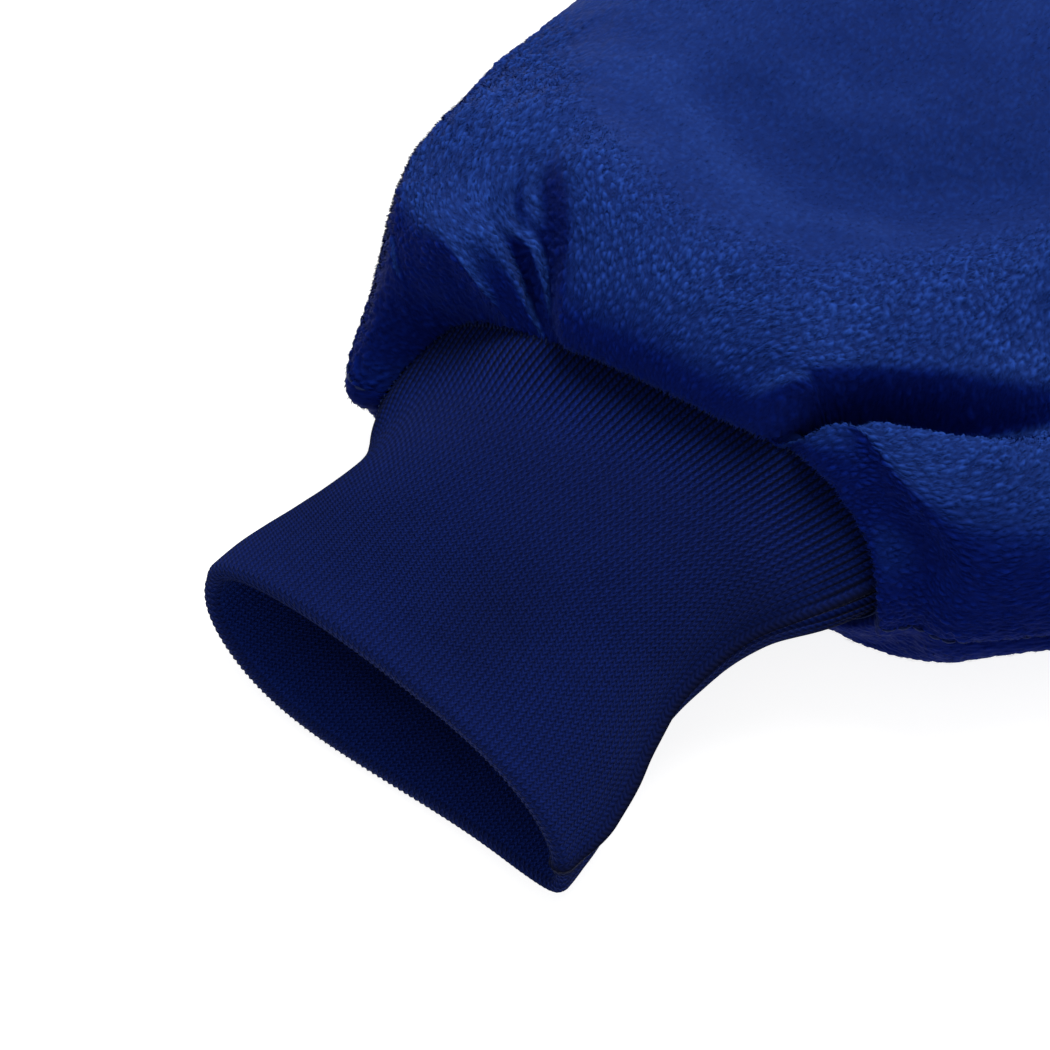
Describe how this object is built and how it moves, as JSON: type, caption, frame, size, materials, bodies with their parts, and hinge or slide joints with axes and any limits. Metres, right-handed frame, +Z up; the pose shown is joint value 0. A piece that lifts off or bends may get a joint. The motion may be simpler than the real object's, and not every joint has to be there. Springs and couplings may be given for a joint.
{
  "type": "wash mitt",
  "caption": "Padded plush wash mitt, a rounded pocket for the whole hand, lined, with a folded rib-knit cuff gathered on at the open end.",
  "frame": {"origin": "on the surface that the mitt lies on, under the middle of its outline", "axes": "+Y from the cuff's mouth to the fingertip end, +Z up from the palm panel to the back panel, +X to the right seen from above with the cuff towards the viewer"},
  "size_m": [0.186, 0.2753, 0.0646],
  "materials": {
    "plush": "dense short pile, velvety",
    "rib_knit": "fine 1x1 rib knit, matt",
    "lining": "smooth warp knit",
    "wadding": "lofted fibre",
    "thread": "spun polyester thread"
  },
  "bodies": {
    "root": {"back_plush": "plush", "palm_plush": "plush", "back_wadding": "wadding", "palm_wadding": "wadding", "back_lining": "lining", "palm_lining": "lining", "rib_cuff": "rib_knit", "cuff_closing_stitches": "thread", "neck_seam_stitches": "thread", "side_seam_stitches": "thread", "lining_seam_stitches": "thread"}
  },
  "joints": []
}
